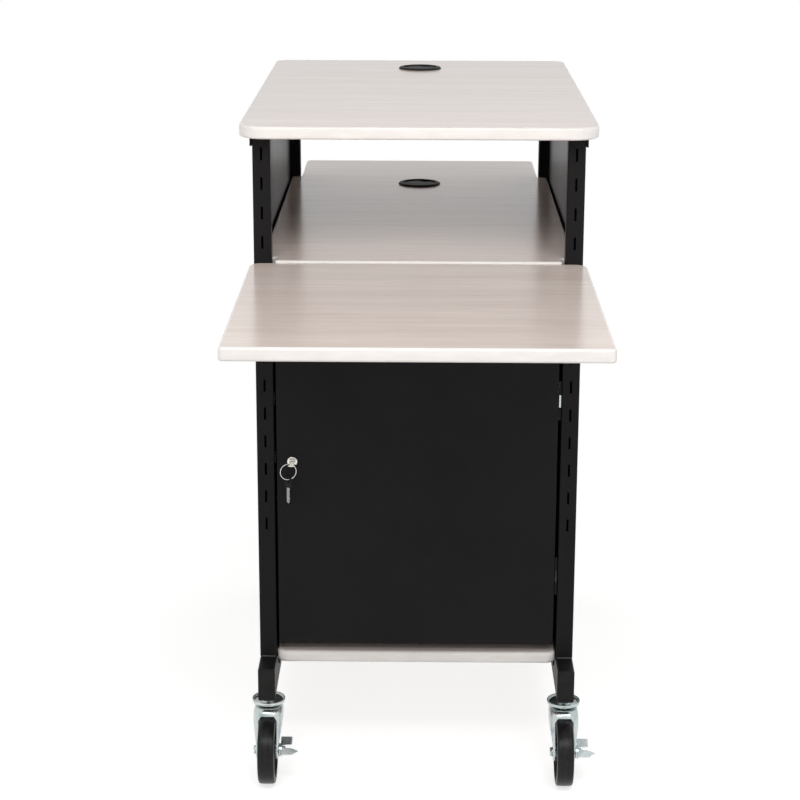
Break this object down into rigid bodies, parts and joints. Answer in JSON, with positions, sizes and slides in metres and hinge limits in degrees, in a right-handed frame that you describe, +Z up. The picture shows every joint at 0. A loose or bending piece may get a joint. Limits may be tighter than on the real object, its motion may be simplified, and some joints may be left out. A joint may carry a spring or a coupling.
{
  "type": "podium cart",
  "caption": "Rolling podium cart with a black steel frame, raised top shelf, work surface in front, middle and bottom shelves, and a cabinet with a hinged locking door.",
  "frame": {"origin": "bottom centre of the cart's bounding box, on the floor", "axes": "+Z up, the door and the work surface face -Y, +X to the user's right when standing in front of the door"},
  "size_m": [0.5246, 1.4014, 0.9963],
  "materials": {
    "laminate": "warm grey-beige laminate with a faint grain, satin",
    "black_steel": "fine black powder coat",
    "black_plastic": "moulded black plastic, satin",
    "zinc": "bright zinc plating with a bluish tint",
    "chrome": "polished nickel or chrome plating",
    "rubber": "black hard rubber, slightly worn"
  },
  "bodies": {
    "frame": {"post_front_left": "black_steel", "post_front_right": "black_steel", "post_rear_left": "black_steel", "post_rear_right": "black_steel", "foot_left": "black_steel", "foot_right": "black_steel", "side_panel_left": "black_steel", "side_panel_right": "black_steel", "top_rail_left": "black_steel", "top_rail_right": "black_steel", "middle_support_left": "black_steel", "middle_support_right": "black_steel", "bottom_support_left": "black_steel", "bottom_support_right": "black_steel", "work_bracket_left": "black_steel", "work_bracket_right": "black_steel", "back_panel": "black_steel", "top_shelf": "laminate", "middle_shelf": "laminate", "work_shelf": "laminate", "bottom_shelf": "laminate", "top_grommet_sleeve": "black_plastic", "middle_grommet_sleeve": "black_plastic", "hinge_upper_post_leaf": "black_steel", "hinge_lower_post_leaf": "black_steel", "hinge_upper_pin": "zinc", "hinge_lower_pin": "zinc", "latch_strike": "black_steel", "door_stop": "black_steel", "caster_seat_front_left": "zinc", "caster_seat_front_right": "zinc", "caster_seat_rear_left": "zinc", "caster_seat_rear_right": "zinc"},
    "door": {"door_panel": "black_steel", "hinge_upper_door_leaf": "zinc", "hinge_lower_door_leaf": "zinc", "lock_housing": "chrome"},
    "lock": {"lock_plug": "chrome", "lock_cam": "zinc", "key": "chrome"},
    "ring": {"key_ring": "chrome"},
    "spare": {"spare_key": "chrome"},
    "top_cap": {"top_grommet_cap": "black_plastic"},
    "middle_cap": {"middle_grommet_cap": "black_plastic"},
    "caster_front_left": {"caster_fork_front_left": "zinc", "caster_axle_front_left": "zinc"},
    "wheel_front_left": {"caster_wheel_front_left": "rubber"},
    "brake_front_left": {"brake_pedal_front_left": "zinc"},
    "caster_front_right": {"caster_fork_front_right": "zinc", "caster_axle_front_right": "zinc"},
    "wheel_front_right": {"caster_wheel_front_right": "rubber"},
    "brake_front_right": {"brake_pedal_front_right": "zinc"},
    "caster_rear_left": {"caster_fork_rear_left": "zinc", "caster_axle_rear_left": "zinc"},
    "wheel_rear_left": {"caster_wheel_rear_left": "rubber"},
    "caster_rear_right": {"caster_fork_rear_right": "zinc", "caster_axle_rear_right": "zinc"},
    "wheel_rear_right": {"caster_wheel_rear_right": "rubber"}
  },
  "joints": [
    {"name": "door_hinge", "type": "hinge", "parent": "frame", "child": "door", "pos_m": [0.20015, -0.20105, 0.4869], "axis": [0, 0, 1], "range_deg": [0, 90]},
    {"name": "lock_turn", "type": "hinge", "parent": "door", "child": "lock", "pos_m": [-0.19255, -0.20615, 0.493], "axis": [0, -1, 0], "range_deg": [0, 90]},
    {"name": "key_ring_swing", "type": "hinge", "parent": "lock", "child": "ring", "pos_m": [-0.1974, -0.22323, 0.493], "axis": [0, -1, 0], "range_deg": [-90, 0]},
    {"name": "spare_key_swing", "type": "hinge", "parent": "ring", "child": "spare", "pos_m": [-0.1974, -0.22323, 0.4712], "axis": [0.9511, 0.309, 0], "range_deg": [-25, 25]},
    {"name": "top_cap_turn", "type": "hinge", "parent": "frame", "child": "top_cap", "pos_m": [-0.00825, 0.46025, 0.9918], "axis": [0, 0, 1], "continuous": true},
    {"name": "middle_cap_turn", "type": "hinge", "parent": "frame", "child": "middle_cap", "pos_m": [-0.00825, 0.44725, 0.7942], "axis": [0, 0, 1], "continuous": true},
    {"name": "swivel_front_left", "type": "hinge", "parent": "frame", "child": "caster_front_left", "pos_m": [-0.23175, -0.21375, 0.1214], "axis": [0, 0, 1], "continuous": true},
    {"name": "roll_front_left", "type": "hinge", "parent": "caster_front_left", "child": "wheel_front_left", "pos_m": [-0.23175, -0.24875, 0.0508], "axis": [1, 0, 0], "continuous": true},
    {"name": "brake_front_left", "type": "hinge", "parent": "caster_front_left", "child": "brake_front_left", "pos_m": [-0.23175, -0.24875, 0.0508], "axis": [1, 0, 0], "range_deg": [0, 18]},
    {"name": "swivel_front_right", "type": "hinge", "parent": "frame", "child": "caster_front_right", "pos_m": [0.21525, -0.21375, 0.1214], "axis": [0, 0, 1], "continuous": true},
    {"name": "roll_front_right", "type": "hinge", "parent": "caster_front_right", "child": "wheel_front_right", "pos_m": [0.21525, -0.24875, 0.0508], "axis": [1, 0, 0], "continuous": true},
    {"name": "brake_front_right", "type": "hinge", "parent": "caster_front_right", "child": "brake_front_right", "pos_m": [0.21525, -0.24875, 0.0508], "axis": [1, 0, 0], "range_deg": [0, 18]},
    {"name": "swivel_rear_left", "type": "hinge", "parent": "frame", "child": "caster_rear_left", "pos_m": [-0.23175, 0.55825, 0.1214], "axis": [0, 0, 1], "continuous": true},
    {"name": "roll_rear_left", "type": "hinge", "parent": "caster_rear_left", "child": "wheel_rear_left", "pos_m": [-0.23175, 0.52325, 0.0508], "axis": [1, 0, 0], "continuous": true},
    {"name": "swivel_rear_right", "type": "hinge", "parent": "frame", "child": "caster_rear_right", "pos_m": [0.21525, 0.55825, 0.1214], "axis": [0, 0, 1], "continuous": true},
    {"name": "roll_rear_right", "type": "hinge", "parent": "caster_rear_right", "child": "wheel_rear_right", "pos_m": [0.21525, 0.52325, 0.0508], "axis": [1, 0, 0], "continuous": true}
  ],
  "couplings": [
    {"joint": "key_ring_swing", "follows": "lock_turn", "ratio": -1}
  ]
}
